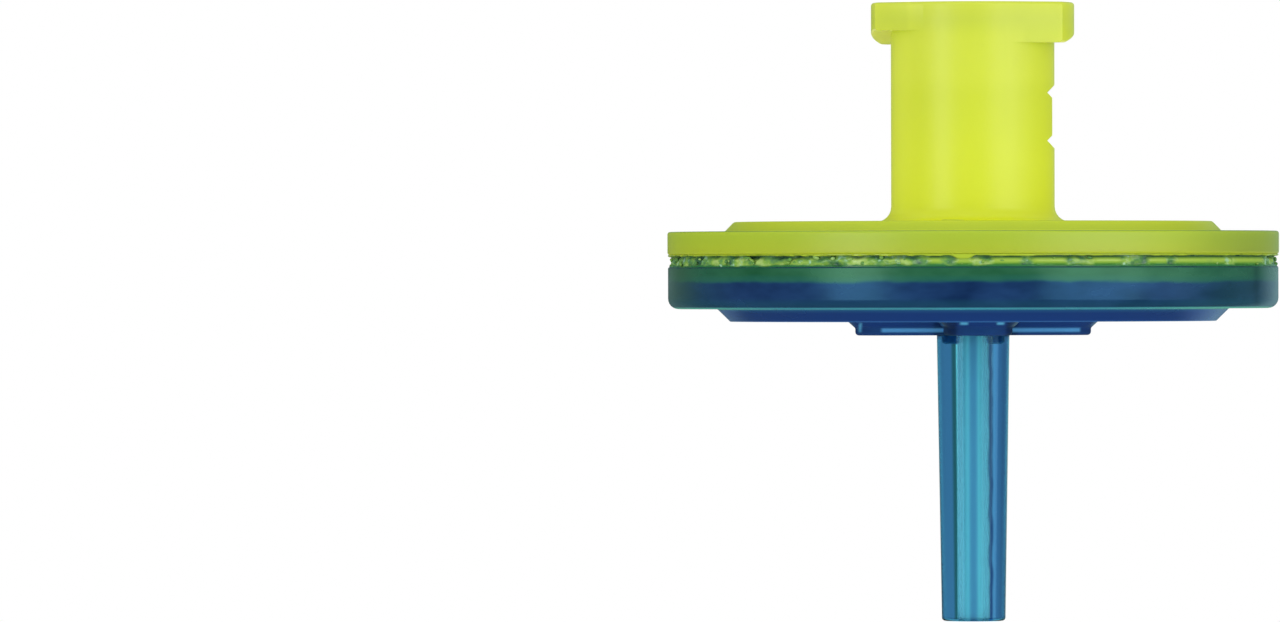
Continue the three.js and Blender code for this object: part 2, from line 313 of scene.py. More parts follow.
def outline(corners, steps=ROUNDING_STEPS):
    """Points along corners given as (x, y) or (x, y, rounding), with each rounding drawn as an arc."""
    points = []
    for i, corner in enumerate(corners):
        place = Vector(corner[:2])
        if len(corner) < 3:
            points.append(place)
            continue
        back = Vector(corners[i - 1][:2]) - place
        ahead = Vector(corners[i + 1][:2]) - place
        room = min(back.length, ahead.length) * 0.5
        back.normalize()
        ahead.normalize()
        half = math.acos(max(-1.0, min(1.0, back.dot(ahead)))) / 2
        radius = min(corner[2], room * math.tan(half))
        centre = place + (back + ahead).normalized() * (radius / math.sin(half))
        first = place + back * (radius / math.tan(half)) - centre
        last = place + ahead * (radius / math.tan(half)) - centre
        sweep = math.atan2(first.x * last.y - first.y * last.x, first.dot(last))
        for step in range(steps + 1):
            points.append(centre + Matrix.Rotation(sweep * step / steps, 2) @ first)
    return points


def at(radius, angle, centre=(0, 0)):
    return centre[0] + radius * math.cos(angle), centre[1] + radius * math.sin(angle)


def arc(radius, start, end, steps, centre=(0, 0)):
    """Points along an arc, both of its ends among them."""
    return [at(radius, start + (end - start) * step / steps, centre) for step in range(steps + 1)]


def round_ended(reach, radius, steps):
    """The outline of a bar or slot with round ends, centred at a reach to each side."""
    near = arc(radius, -math.pi / 2, math.pi / 2, steps, (reach, 0))
    far = arc(radius, math.pi / 2, math.pi * 3 / 2, steps, (-reach, 0))
    return near + far


def in_scene(name, data):
    """A new object at the origin that shows the given data."""
    thing = bpy.data.objects.new(name, data)
    bpy.context.scene.collection.objects.link(thing)
    return thing


def use_up(piece):
    """Removes a piece and its mesh."""
    spent = piece.data
    bpy.data.objects.remove(piece)
    bpy.data.meshes.remove(spent)


def shade(mesh, sharp_degrees=SHARP_DEGREES):
    """Smooth shading, except at real edges."""
    mesh.shade_smooth()
    mesh.set_sharp_from_angle(angle=math.radians(sharp_degrees))


def finished_piece(name, bm, sharp_degrees=SHARP_DEGREES):
    """A mesh object in metres from a bmesh in millimetres."""
    bmesh.ops.remove_doubles(bm, verts=bm.verts, dist=HAIR)
    bmesh.ops.recalc_face_normals(bm, faces=bm.faces)
    bmesh.ops.scale(bm, verts=bm.verts, vec=(MM, MM, MM))
    mesh = bpy.data.meshes.new(name)
    bm.to_mesh(mesh)
    bm.free()
    shade(mesh, sharp_degrees)
    return in_scene(name, mesh)


def join_rings(bm, rings, closed=False):
    """Faces from each ring of points to the next, and from the last to the first if closed."""
    pairs = list(zip(rings, rings[1:]))
    if closed:
        pairs.append((rings[-1], rings[0]))
    for near, far in pairs:
        for i in range(len(near)):
            after = (i + 1) % len(near)
            corners = list(dict.fromkeys((near[i], near[after], far[after], far[i])))
            if len(corners) > 2:
                bm.faces.new(corners)


def turned(name, corners, turns=DISC_TURNS, centre=(0, 0)):
    """A solid turned about an upright axis. Its corners are (radius, height, rounding)."""
    bm = bmesh.new()
    profile = outline(corners)
    rings = []
    for radius, height in profile:
        if radius < HAIR:
            rings.append([bm.verts.new((*centre, height))] * turns)
        else:
            circle = arc(radius, 0, 2 * math.pi, turns, centre)[:-1]
            rings.append([bm.verts.new((*point, height)) for point in circle])
    join_rings(bm, rings, closed=profile[0].x > HAIR)
    return finished_piece(name, bm)


def extruded(name, points, low, high, bevel=0.0, place=None):
    """A prism of an outline between two heights, its rims bevelled inwards, moved by a matrix."""
    bm = bmesh.new()
    face = bm.faces.new([bm.verts.new((*point, low)) for point in points])
    grown = bmesh.ops.extrude_face_region(bm, geom=[face])
    top = [item for item in grown["geom"] if isinstance(item, bmesh.types.BMVert)]
    bmesh.ops.translate(bm, verts=top, vec=(0, 0, high - low))
    bmesh.ops.recalc_face_normals(bm, faces=bm.faces)
    if bevel:
        rims = [e for e in bm.edges if abs(e.verts[0].co.z - e.verts[1].co.z) < HAIR]
        bmesh.ops.bevel(bm, geom=rims, offset=bevel, segments=4, profile=0.5, affect="EDGES")
    if place:
        bmesh.ops.transform(bm, matrix=place, verts=bm.verts)
    return finished_piece(name, bm)


def plain_mesh(piece):
    """The mesh that a piece's modifiers make of it. The modifiers are then removed."""
    bpy.context.view_layer.update()
    evaluated = piece.evaluated_get(bpy.context.evaluated_depsgraph_get())
    mesh = bpy.data.meshes.new_from_object(evaluated)
    piece.modifiers.clear()
    return mesh


def combined(body, tools, operation):
    """The body with each tool joined, cut away or kept in common. The tools are used up."""
    for tool in tools:
        modifier = body.modifiers.new("combine", "BOOLEAN")
        modifier.operation = operation
        modifier.solver = "EXACT"
        modifier.object = tool
    mesh = plain_mesh(body)
    spent, body.data = body.data, mesh
    bpy.data.meshes.remove(spent)
    mesh.name = body.name
    for tool in tools:
        use_up(tool)
    shade(mesh)
    return body


def made_by(tree, name, values):
    """A plain mesh object from a Geometry Nodes tree, with its inputs set by their sockets' identifiers."""
    holder = in_scene(name, bpy.data.meshes.new(name))
    modifier = holder.modifiers.new("tree", "NODES")
    modifier.node_group = tree
    for item in tree.interface.items_tree:
        if item.in_out == "INPUT":
            modifier[item.identifier] = values[item.name]
    holder.data = plain_mesh(holder)
    return holder


def box_ring_tree():
    """A Geometry Nodes tree that sets boxes evenly round the axis."""
    tree, given, result = new_forms_tree("boxes_around_axis", (
        ("Count", "Int"),
        ("Distance", "Float"),
        ("Size", "Vector"),
        ("Height", "Float"),
        ("Turn", "Float"),
        ("Finish", "Material"),
    ))
    row = add(tree, "GeometryNodeMeshLine", {"Count": given["Count"], "Offset": (0, 0, 0)}, mode="OFFSET")
    box = add(tree, "GeometryNodeMeshCube", {"Size": given["Size"]})
    out = combined_xyz(tree, X=given["Distance"], Z=given["Height"])
    placed = add(tree, "GeometryNodeTransform", {"Geometry": box.outputs["Mesh"], "Translation": out})
    share = maths(tree, "DIVIDE", add(tree, "GeometryNodeInputIndex").outputs[0], given["Count"])
    angle = maths(tree, "ADD", maths(tree, "MULTIPLY", share, 2 * math.pi), given["Turn"])
    copies = add(tree, "GeometryNodeInstanceOnPoints", {
        "Points": row.outputs["Mesh"],
        "Instance": placed.outputs["Geometry"],
        "Rotation": combined_xyz(tree, Z=angle),
    })
    finish_forms_tree(tree, copies.outputs["Instances"], given["Finish"], result)
    return tree


def around(count, distance, size, height, turn=0.0):
    """One mesh of boxes set evenly round the axis, used as a cutter."""
    return made_by(box_ring_tree(), "boxes", {
        "Count": count,
        "Distance": distance * MM,
        "Size": [side * MM for side in size],
        "Height": height * MM,
        "Turn": turn,
        "Finish": None,
    })


# ---------------------------------------------------------------- inlet shell


def collar_outline():
    """The neck with its two lugs seen along the axis, whose sides are tangent to the neck."""
    root = LUG_HALF_ANGLE + math.acos(NECK_RADIUS / LUG_RADIUS)
    points = []
    for side in (0, math.pi):
        points += arc(LUG_RADIUS, side - LUG_HALF_ANGLE, side + LUG_HALF_ANGLE, LUG_ARC_STEPS)
        points += arc(NECK_RADIUS, side + root, side + math.pi - root, NECK_ARC_STEPS)
    return points


def lug(side):
    """One lug: the collar outline kept in common with a block whose underside climbs with the thread."""
    collar = extruded("collar", collar_outline(), -LUG_DEPTH - LUG_LEAD, MOUTH, COLLAR_ROUNDING)
    inside = NECK_RADIUS - CUT_MARGIN
    section = outline([
        (inside, CUT_MARGIN),
        (inside, -LUG_DEPTH),
        (LUG_RADIUS, -LUG_DEPTH, LUG_ROUNDING),
        (LUG_RADIUS, CUT_MARGIN),
    ], LUG_ROUNDING_STEPS)
    span = LUG_HALF_ANGLE + math.acos(NECK_RADIUS / LUG_RADIUS)
    bm = bmesh.new()
    stations = []
    for step in range(LUG_STEPS + 1):
        angle = span * (2 * step / LUG_STEPS - 1)
        climb = max(-LUG_RAMP_HALF_ANGLE, min(LUG_RAMP_HALF_ANGLE, angle))
        rise = LUG_LEAD * climb / (2 * math.pi)
        station = []
        for radius, height in section:
            lift = 0 if height > 0 else rise
            station.append(bm.verts.new((*at(radius, side + angle), height + lift)))
        stations.append(station)
    join_rings(bm, stations)
    bm.faces.new(stations[0])
    bm.faces.new(stations[-1])
    return combined(finished_piece("lug", bm), [collar], "INTERSECT")


def gate_pad_cuts():
    """The flat on the side of the neck and the V groove above and below it."""
    outer = NECK_RADIUS + CUT_MARGIN
    flat = NECK_RADIUS - PAD_RECESS
    bottom = NECK_RADIUS - GROOVE_DEPTH
    spread = GROOVE_WIDTH / 2 * (outer - bottom) / GROOVE_DEPTH
    turn = Matrix.Rotation(PAD_TURN, 4, "Z") @ Matrix.Translation((0, 0, PAD_HEIGHT))
    upright = turn @ Matrix.Rotation(math.pi / 2, 4, "X")
    half = GROOVE_SPACING / 2
    pad = [(flat, -half), (outer, -half), (outer, half), (flat, half)]
    sections = [pad]
    for side in (-1, 1):
        middle = side * half
        sections.append([(bottom, middle), (outer, middle - spread), (outer, middle + spread)])
    return [extruded("gate_cut", s, -NECK_RADIUS, NECK_RADIUS, place=upright) for s in sections]


def inlet_shell():
    """The yellow shell: its neck and lugs, the socket, the windows below it, the rim and the gate's marks."""
    body = turned("inlet_shell", [
        (0, CEILING_EDGE + CEILING_RISE),
        (FILTER_RADIUS, CEILING_EDGE),
        (FILTER_RADIUS, MEMBRANE_TOP),
        (SEAT_RADIUS, MEMBRANE_TOP),
        (SEAT_RADIUS, LEDGE),
        (TONGUE_RADIUS, LEDGE),
        (TONGUE_RADIUS, RIM_UNDER),
        (RIM_RADIUS, RIM_UNDER, RIM_ROUNDING),
        (RIM_RADIUS, RIM_TOP, RIM_ROUNDING),
        (STEP_RADIUS, RIM_TOP, STEP_ROOT_ROUNDING),
        (STEP_RADIUS - STEP_CHAMFER, STEP_TOP, STEP_CHAMFER / 2),
        (NECK_RADIUS, STEP_TOP, NECK_FILLET),
        (NECK_RADIUS, MOUTH, COLLAR_ROUNDING),
        (MOUTH_RADIUS + MOUTH_CHAMFER, MOUTH),
        (MOUTH_RADIUS, MOUTH - MOUTH_CHAMFER),
        (SOCKET_FLOOR_RADIUS, -SOCKET_DEPTH),
        (0, -SOCKET_DEPTH),
    ])
    floor = STEP_TOP - DISH_DEPTH
    dish = turned("dish", [
        (0, floor),
        (DISH_RADIUS - DISH_DEPTH, floor, DISH_DEPTH),
        (DISH_RADIUS, STEP_TOP),
        (DISH_RADIUS, STEP_TOP + CUT_MARGIN),
        (0, STEP_TOP + CUT_MARGIN),
    ], SMALL_TURNS, (0, -DISH_DISTANCE))
    nub = turned("nub", [
        (0, floor - DISH_DEPTH),
        (NUB_RADIUS, floor - DISH_DEPTH),
        (NUB_RADIUS, floor + NUB_HEIGHT, NUB_HEIGHT / 2),
        (0, floor + NUB_HEIGHT),
    ], SMALL_TURNS, (0, -DISH_DISTANCE))
    top = -SOCKET_DEPTH + CUT_MARGIN
    windows = around(
        WINDOW_COUNT,
        SOCKET_FLOOR_RADIUS - WINDOW_MARGIN - WINDOW_RADIAL / 2,
        (WINDOW_RADIAL, WINDOW_WIDTH, top - CEILING_EDGE),
        (top + CEILING_EDGE) / 2,
    )
    combined(body, [lug(0), lug(math.pi)], "UNION")
    combined(body, [windows, dish, *gate_pad_cuts()], "DIFFERENCE")
    return combined(body, [nub], "UNION")


# ---------------------------------------------------------------- outlet cup


def hub_bar(turn):
    """A bar with round ends under the cup floor, filleted where it leaves the floor and rounded below."""
    reach = (HUB_BAR_LENGTH - HUB_BAR_WIDTH) / 2
    root = LOWER_STEP_UNDER + OVERLAP
    section = outline([
        (HUB_FILLET * 2, root + 0.4),
        (HUB_FILLET * 2, root),
        (HUB_FILLET, root, HUB_FILLET / 3),
        (0, root - HUB_FILLET * 0.9, HUB_FILLET / 3),
        (0, HUB_UNDER, HUB_BEVEL),
        (-HUB_BAR_WIDTH / 2, HUB_UNDER),
    ])
    bm = bmesh.new()
    rings = []
    for proud, height in section[:-1]:
        ring = round_ended(reach, HUB_BAR_WIDTH / 2 + proud, HUB_END_STEPS)
        rings.append([bm.verts.new((*point, height)) for point in ring])
    join_rings(bm, rings)
    bm.faces.new(rings[0])
    bm.faces.new(rings[-1])
    bmesh.ops.rotate(bm, verts=bm.verts, cent=(0, 0, 0), matrix=Matrix.Rotation(turn, 3, "Z"))
    return finished_piece("hub_bar", bm)


def ring_channel_corners(drain):
    """The section of the ring channels in the cup's floor, from the outermost inwards."""
    channels = []
    inner = SUMP_RADIUS + RING_CHANNEL_PITCH / 2
    while inner + RING_CHANNEL_WIDTH < FILTER_RADIUS:
        channels.append(inner)
        inner += RING_CHANNEL_PITCH
    corners = []
    for inner in reversed(channels):
        outer = inner + RING_CHANNEL_WIDTH
        corners += [(outer, LEDGE), (outer, drain), (inner, drain), (inner, LEDGE)]
    return corners


def drain_cutters(drain):
    """What is cut from the cup: the spoke channels, the sump and the pockets at the top of the bore."""
    length = FILTER_RADIUS - RING_CHANNEL_WIDTH - SUMP_RADIUS + SPOKE_OVERLAP
    spokes = around(
        SPOKE_CHANNEL_COUNT,
        SUMP_RADIUS - SPOKE_OVERLAP + length / 2,
        (length, SPOKE_CHANNEL_WIDTH, DRAIN_DEPTH + CUT_MARGIN),
        drain + (DRAIN_DEPTH + CUT_MARGIN) / 2,
        math.pi / SPOKE_CHANNEL_COUNT,
    )
    sump = turned("sump", [
        (0, SUMP_FLOOR),
        (SUMP_RADIUS, SUMP_FLOOR),
        (SUMP_RADIUS, LEDGE + CUT_MARGIN),
        (0, LEDGE + CUT_MARGIN),
    ])
    slot = round_ended(POCKET_REACH - POCKET_WIDTH / 2, POCKET_WIDTH / 2, POCKET_END_STEPS)
    turn = Matrix.Rotation(PAD_TURN, 4, "Z")
    low, high = HUB_UNDER - POCKET_DEPTH, SUMP_FLOOR + 0.1
    return [spokes, sump, extruded("pockets", slot, low, high, POCKET_WIDTH * 0.45, turn)]


def outlet_cup():
    """The blue cup: its wall, floor and channels, the crossed hub under it, and the tapered tube."""
    slope = (TUBE_TOP_RADIUS - TUBE_TIP_RADIUS) / (HUB_UNDER - TUBE_TIP)
    root_radius = TUBE_TOP_RADIUS + slope * (LOWER_STEP_UNDER - HUB_UNDER)
    drain = LEDGE - DRAIN_DEPTH
    body = turned("outlet_cup", [
        (BORE_RADIUS, TUBE_TIP),
        (TUBE_TIP_RADIUS, TUBE_TIP, TUBE_TIP_ROUNDING),
        (root_radius, LOWER_STEP_UNDER),
        (LOWER_STEP_RADIUS - LOWER_STEP_SLOPE, LOWER_STEP_UNDER, LOWER_STEP_ROUNDING),
        (LOWER_STEP_RADIUS, CUP_UNDER, LOWER_STEP_ROOT_ROUNDING),
        (CUP_RADIUS, CUP_UNDER, CUP_ROUNDING),
        (CUP_RADIUS, CUP_TOP, CUP_LIP_ROUNDING),
        (CUP_BORE_RADIUS, CUP_TOP),
        (CUP_BORE_RADIUS, LEDGE),
        *ring_channel_corners(drain),
        (SUMP_RADIUS, LEDGE),
        (SUMP_RADIUS, SUMP_FLOOR),
        (BORE_RADIUS, SUMP_FLOOR),
    ])
    bars = [hub_bar(HUB_TURN + quarter) for quarter in (0, math.pi / 2)]
    combined(body, bars, "UNION")
    return combined(body, drain_cutters(drain), "DIFFERENCE")


def give_tube_its_finishes(cup):
    """The tube takes the second finish and its bore the third. The disc, the hub and the pockets keep the
    first."""
    for face in cup.data.polygons:
        x, y, height = face.center / MM
        distance = math.hypot(x, y)
        if height > HUB_UNDER + OVERLAP or distance > TUBE_TOP_RADIUS + 0.1:
            continue
        if abs(distance - BORE_RADIUS) < 0.02:
            face.material_index = 2
        elif distance > POCKET_REACH + 0.02 and height > TUBE_TIP + OVERLAP:
            face.material_index = 1


# ---------------------------------------------------------------- weld


def soft_step(value, low, high):
    share = min(1.0, max(0.0, (value - low) / (high - low)))
    return share * share * (3 - 2 * share)


def stretch_share(degrees, stretches):
    """How far an angle lies inside one of the stretches or their like on the far side, from 0 to 1."""
    share = 0.0
    for low, high in stretches:
        for back in (0, 180):
            away = (degrees - (low + high) / 2 + back + 180) % 360 - 180
            inside = (high - low) / 2 - abs(away)
            share = max(share, soft_step(inside, -STRETCH_SOFTNESS, STRETCH_SOFTNESS))
    return share


def melt_edges(place, smooth, sag):
    """The levels at which the melt meets the shell's lip and the cup, at one place round the seam."""
    slow, quick = noise.noise(place * 0.9), noise.noise(place * 2.9)
    lip_edge = LIP_LEVEL + 0.05 * slow + (0.08 - 0.05 * smooth) * quick - SAG_DROP * sag
    foot_edge = FOOT_LEVEL - 0.07 * slow + (0.09 - 0.05 * smooth) * noise.noise(place * 2.1)
    return lip_edge, foot_edge


def melt_point(angle, level):
    """The outer radius of the melt at a level, with its masks: where it lies smooth, where the lip of the
    shell has sagged over it, and where it has run onto the cup."""
    degrees = math.degrees(angle)
    smooth = stretch_share(degrees, SMOOTH_STRETCHES)
    sag = stretch_share(degrees, SAGGED_STRETCHES)
    place = Vector((math.cos(angle), math.sin(angle), 0)) * WELD_RADIUS
    lip_edge, foot_edge = melt_edges(place, smooth, sag)
    lip = soft_step(level, lip_edge - LIP_SOFTNESS, lip_edge + LIP_SOFTNESS)
    foot = 1 - soft_step(level, foot_edge - FOOT_SOFTNESS, foot_edge + FOOT_SOFTNESS)
    place.z = level * WELD_HEIGHT * 1.8
    coarse, fine = noise.noise(place * 1.3), noise.noise(place * 3.4)
    rough = WELD_RADIUS - 0.02 + COARSE_ROUGHNESS * coarse + FINE_ROUGHNESS * fine
    rough -= UNDERCUT * soft_step(level, lip_edge - 0.35, lip_edge - 0.05) * (1 - 1.6 * coarse)
    bulge = max(-1.0, 1 - ((level - BEAD_LEVEL) / BEAD_HALF_HEIGHT) ** 2)
    bead = WELD_RADIUS - 0.04 + BEAD_BULGE * bulge
    radius = rough + (bead - rough) * smooth
    radius += (RIM_RADIUS - 0.02 - radius) * lip
    radius += (CUP_RADIUS - 0.05 - radius) * foot
    return min(radius, RIM_RADIUS - 0.012), {"smooth": smooth, "lip": lip, "foot": foot}


def weld_ring():
    """The melt squeezed out between the shell and the cup: smooth beads with crumbly stretches between."""
    bm = bmesh.new()
    layers = {name: bm.verts.layers.float.new(name) for name in ("smooth", "lip", "foot", "depth")}
    columns = []
    for angle in [2 * math.pi * turn / WELD_COLUMNS for turn in range(WELD_COLUMNS)]:
        column = [bm.verts.new((*at(CUP_BORE_RADIUS, angle), CUP_TOP))]
        for row in range(WELD_ROWS + 1):
            level = row / WELD_ROWS
            radius, masks = melt_point(angle, level)
            masks["depth"] = radius - WELD_RADIUS
            vert = bm.verts.new((*at(radius, angle), CUP_TOP + level * WELD_HEIGHT))
            for name, value in masks.items():
                vert[layers[name]] = value
            column.append(vert)
        column.append(bm.verts.new((*at(CUP_BORE_RADIUS, angle), RIM_UNDER)))
        columns.append(column)
    join_rings(bm, columns, closed=True)
    return finished_piece("weld_ring", bm, WELD_SHARP_DEGREES)


def crumb_tree():
    """A Geometry Nodes tree that strews small rounded crumbs along an arc of the seam."""
    tree, given, result = new_forms_tree("crumbs_on_seam", (
        ("Count", "Int"),
        ("Seed", "Int"),
        ("Arc From", "Float"),
        ("Arc To", "Float"),
        ("Radius", "Float"),
        ("Foot", "Float"),
        ("Top", "Float"),
        ("Smallest", "Float"),
        ("Largest", "Float"),
        ("Finish", "Material"),
    ))

    def chance(low, high, shift):
        draw = {2: low, 3: high, "Seed": maths(tree, "ADD", given["Seed"], shift)}
        return add(tree, "FunctionNodeRandomValue", draw, data_type="FLOAT").outputs[1]

    angle = chance(given["Arc From"], given["Arc To"], 1)
    height = chance(given["Foot"], given["Top"], 2)
    radius = maths(tree, "ADD", given["Radius"], chance(-0.06 * MM, 0.04 * MM, 3))
    size = chance(given["Smallest"], given["Largest"], 4)
    place = combined_xyz(
        tree,
        X=maths(tree, "MULTIPLY", radius, maths(tree, "COSINE", angle)),
        Y=maths(tree, "MULTIPLY", radius, maths(tree, "SINE", angle)),
        Z=height,
    )
    scale = combined_xyz(
        tree,
        X=maths(tree, "MULTIPLY", size, chance(0.5, 0.9, 5)),
        Y=maths(tree, "MULTIPLY", size, chance(0.8, 1.8, 6)),
        Z=maths(tree, "MULTIPLY", size, chance(0.4, 1.0, 7)),
    )
    row = add(tree, "GeometryNodeMeshLine", {"Count": given["Count"], "Offset": (0, 0, 0)}, mode="OFFSET")
    spread = add(tree, "GeometryNodeSetPosition", {"Geometry": row.outputs[0], "Position": place})
    ball = add(tree, "GeometryNodeMeshUVSphere", {"Segments": 8, "Rings": 5, "Radius": 1.0})
    copies = add(tree, "GeometryNodeInstanceOnPoints", {
        "Points": spread.outputs[0],
        "Instance": ball.outputs["Mesh"],
        "Rotation": combined_xyz(tree, X=chance(-0.6, 0.6, 8), Z=angle),
        "Scale": scale,
    })
    marked = add(tree, "GeometryNodeStoreNamedAttribute", {
        "Geometry": copies.outputs[0], "Name": "shade", "Value": chance(0.0, 1.0, 9),
    }, data_type="FLOAT", domain="INSTANCE")
    finish_forms_tree(tree, marked.outputs[0], given["Finish"], result, smooth=True)
    return tree


def weld_crumbs(finish):
    """All the crumbs as one piece, thick along the crumbly stretches and sparse elsewhere."""
    tree = crumb_tree()
    bm = bmesh.new()
    for number, (low, high, count) in enumerate(CRUMB_ARCS):
        part = made_by(tree, "crumb_arc", {
            "Count": count,
            "Seed": number * 20,
            "Arc From": math.radians(low),
            "Arc To": math.radians(high),
            "Radius": WELD_RADIUS * MM,
            "Foot": (CUP_TOP + 0.04) * MM,
            "Top": (RIM_UNDER - 0.1) * MM,
            "Smallest": 0.05 * MM,
            "Largest": 0.11 * MM,
            "Finish": finish,
        })
        bm.from_mesh(part.data)
        use_up(part)
    mesh = bpy.data.meshes.new("weld_crumbs")
    bm.to_mesh(mesh)
    bm.free()
    return in_scene("weld_crumbs", mesh)


# ---------------------------------------------------------------- finishes

# Where tones and painted light and shade change, in millimetres.
NECK_GLOW_FOOT = -3.2
NECK_GLOW_SIDE = -2.3
LUG_FLOOR = -2.0
RIM_SHADE_SIDE = 9.6
CUP_SHADE_SIDE = 9.4
CUP_FAR_SIDE = -10.5
CUP_WALL_EDGE = 11.5
STEP_SHEEN_SIDE = 8.8
CORNER_SHEEN_SIDE = 8.5
STRIP_INNER_END = 1.0
STRIP_OUTER_END = 3.84
STRIP_SHIFT = 0.22


def place_group():
    """Where a point lies on the filter, in millimetres: from the axis, up along it, and across it in X."""
    tree, _, result = new_group("place_on_filter", {}, ("Radius", "Height", "Across"))
    axes = separate_xyz(tree, coordinates(tree))
    flat = combined_xyz(tree, X=axes["X"], Y=axes["Y"])
    length = add(tree, "ShaderNodeVectorMath", {0: flat}, operation="LENGTH").outputs["Value"]
    for label, metres in (("Radius", length), ("Height", axes["Z"]), ("Across", axes["X"])):
        tree.links.new(maths(tree, "MULTIPLY", metres, 1 / MM), result[label])
    return tree


def zone_group():
    """A mask that is 1 between two values, with soft ends."""
    inputs = {"Value": 0.0, "From": 0.0, "To": 1.0, "Softness": 0.05}
    tree, given, result = new_group("zone", inputs, ["Mask"])

    def edge(place, before, after):
        low, high = [maths(tree, operation, place, given["Softness"]) for operation in (before, after)]
        return ramp(tree, given["Value"], low, high, soft=True)

    rise, fall = edge(given["From"], "SUBTRACT", "ADD"), edge(given["To"], "ADD", "SUBTRACT")
    tree.links.new(maths(tree, "MULTIPLY", rise, fall), result["Mask"])
    return tree


def skin_group():
    """Moulded plastic: a fine even grain as a height, and a slow cloudiness as a mask."""
    inputs = {"Grain": 9000.0, "Cloud": 500.0, "Stretch": (1, 1, 1)}
    tree, given, result = new_group("moulded_skin", inputs, ("Height", "Cloudiness"))
    place = coordinates(tree)
    drawn = add(tree, "ShaderNodeVectorMath", {0: place, 1: given["Stretch"]}, operation="MULTIPLY")
    grain = add(tree, "ShaderNodeTexNoise", {
        "Vector": place, "Scale": given["Grain"], "Detail": 2.0, "Roughness": 0.6,
    })
    cloud = add(tree, "ShaderNodeTexNoise", {
        "Vector": drawn.outputs[0], "Scale": given["Cloud"], "Detail": 3.0, "Roughness": 0.55,
    })
    tree.links.new(grain.outputs["Fac"], result["Height"])
    tree.links.new(cloud.outputs["Fac"], result["Cloudiness"])
    return tree


PLACE, ZONE, SKIN = place_group(), zone_group(), skin_group()


class Finish:
    """A material with its Principled shader and the groups that most finishes here start from."""

    def __init__(self, name, **values):
        self.material = bpy.data.materials.new(name)
        self.material.use_nodes = True
        self.tree = self.material.node_tree
        self.shader = self.tree.nodes["Principled BSDF"]
        for label, value in values.items():
            self.shader.inputs[label.replace("_", " ")].default_value = value
        self.radius, self.height, self.across = self.group(PLACE).outputs

    def group(self, tree, **inputs):
        return add(self.tree, "ShaderNodeGroup", inputs, node_tree=tree)

    def skin(self, grain, cloud, stretch=(1, 1, 1)):
        """The grain's height and the cloudiness of a moulded skin, with both scales given per metre."""
        return self.group(SKIN, Grain=grain, Cloud=cloud, Stretch=stretch).outputs

    def zone(self, value, low, high, softness=0.05):
        return self.group(ZONE, Value=value, From=low, To=high, Softness=softness).outputs[0]

    def beyond(self, value, low, softness=0.05):
        return self.zone(value, low, FAR, softness)

    def below(self, value, high, softness=0.05):
        return self.zone(value, -FAR, high, softness)

    def common(self, first, *others):
        """A mask of what several masks share."""
        for mask in others:
            first = maths(self.tree, "MULTIPLY", first, mask)
        return first

    def either(self, first, second):
        return maths(self.tree, "MAXIMUM", first, second)

    def turned_by(self, angle):
        """Where a point lies in X and Y, in millimetres, on axes that are turned about the upright one."""
        axes = turned_axes(self.tree, coordinates(self.tree), angle)
        return [maths(self.tree, "MULTIPLY", axes[label], 1 / MM) for label in "XY"]

    def painted(self, colour, *coats):
        """A colour with coats laid over it in turn, given as (mask, paint) or (mask, paint, strength)."""
        for mask, paint, *strength in coats:
            colour = blended(self.tree, self.common(mask, *strength), colour, paint)
        return colour

    def attribute(self, name):
        """A value that the piece's mesh carries at each point."""
        return add(self.tree, "ShaderNodeAttribute", attribute_name=name).outputs["Fac"]

    def feed(self, label, socket):
        self.tree.links.new(socket, self.shader.inputs[label])

    def bump(self, height, distance, strength):
        inputs = {"Height": height, "Distance": distance, "Strength": strength}
        self.feed("Normal", add(self.tree, "ShaderNodeBump", inputs).outputs[0])


def neck_glow(finish):
    """The coats that stand in for light which shines through the neck and the lugs."""
    neck = finish.zone(finish.radius, 0.0, NECK_RADIUS + 0.08, 0.04)
    below_lugs = finish.zone(finish.height, NECK_GLOW_FOOT, -LUG_DEPTH + 0.2, 0.5)
    far_side = finish.below(finish.across, NECK_GLOW_SIDE, 0.6)
    facing_up = separate_xyz(finish.tree, coordinates(finish.tree, "Normal"))["Z"]
    facing_down = finish.below(facing_up, -0.4, 0.3)
    undersides = finish.common(facing_down, finish.beyond(finish.height, LUG_FLOOR, 0.1))
    return (
        (finish.common(neck, below_lugs), (232, 240, 84), 0.16),
        (finish.common(neck, far_side), (232, 242, 84), 0.4),
        (undersides, (255, 255, 150), 0.9),
    )


def rim_coats(finish):
    """The rim's wall, duller towards its top, with painted shade at its +X end and painted light along its
    lower edge.
    """
    rim = finish.beyond(finish.radius, STEP_RADIUS + 0.1, 0.08)
    up_rim = ramp(finish.tree, finish.height, RIM_UNDER + 0.1, RIM_TOP - 0.1)
    wall = blended(finish.tree, up_rim, (172, 190, 36), (156, 180, 42))
    # Painted shade: the rim darker towards its +X end.
    painted_shade_end = finish.beyond(finish.across, RIM_SHADE_SIDE, 1.6)
    # Painted light: a lighter band along the rim's lower edge.
    painted_light_edge = finish.below(finish.height, RIM_UNDER + 0.07)
    return (
        (rim, wall),
        (finish.common(rim, painted_shade_end), (122, 146, 60), 0.6),
        (finish.common(rim, painted_light_edge), (206, 224, 58), 0.45),
    )


def flange_coats(finish):
    """The flange as seen from above, green over the blue cup, and the paler ring that clamps the membrane."""
    flange = finish.common(
        finish.zone(finish.radius, STEP_RADIUS + 0.1, RIM_RADIUS - 0.05, 0.04),
        finish.zone(finish.height, RIM_TOP - 0.03, STEP_TOP - 0.1, 0.02),
    )
    clamp_ring = finish.common(
        finish.zone(finish.height, RIM_TOP + 0.02, STEP_TOP + 0.05, 0.02),
        finish.zone(finish.radius, FILTER_RADIUS, STEP_RADIUS + 0.1, 0.12),
    )
    return (flange, (62, 111, 63)), (clamp_ring, (184, 202, 34))


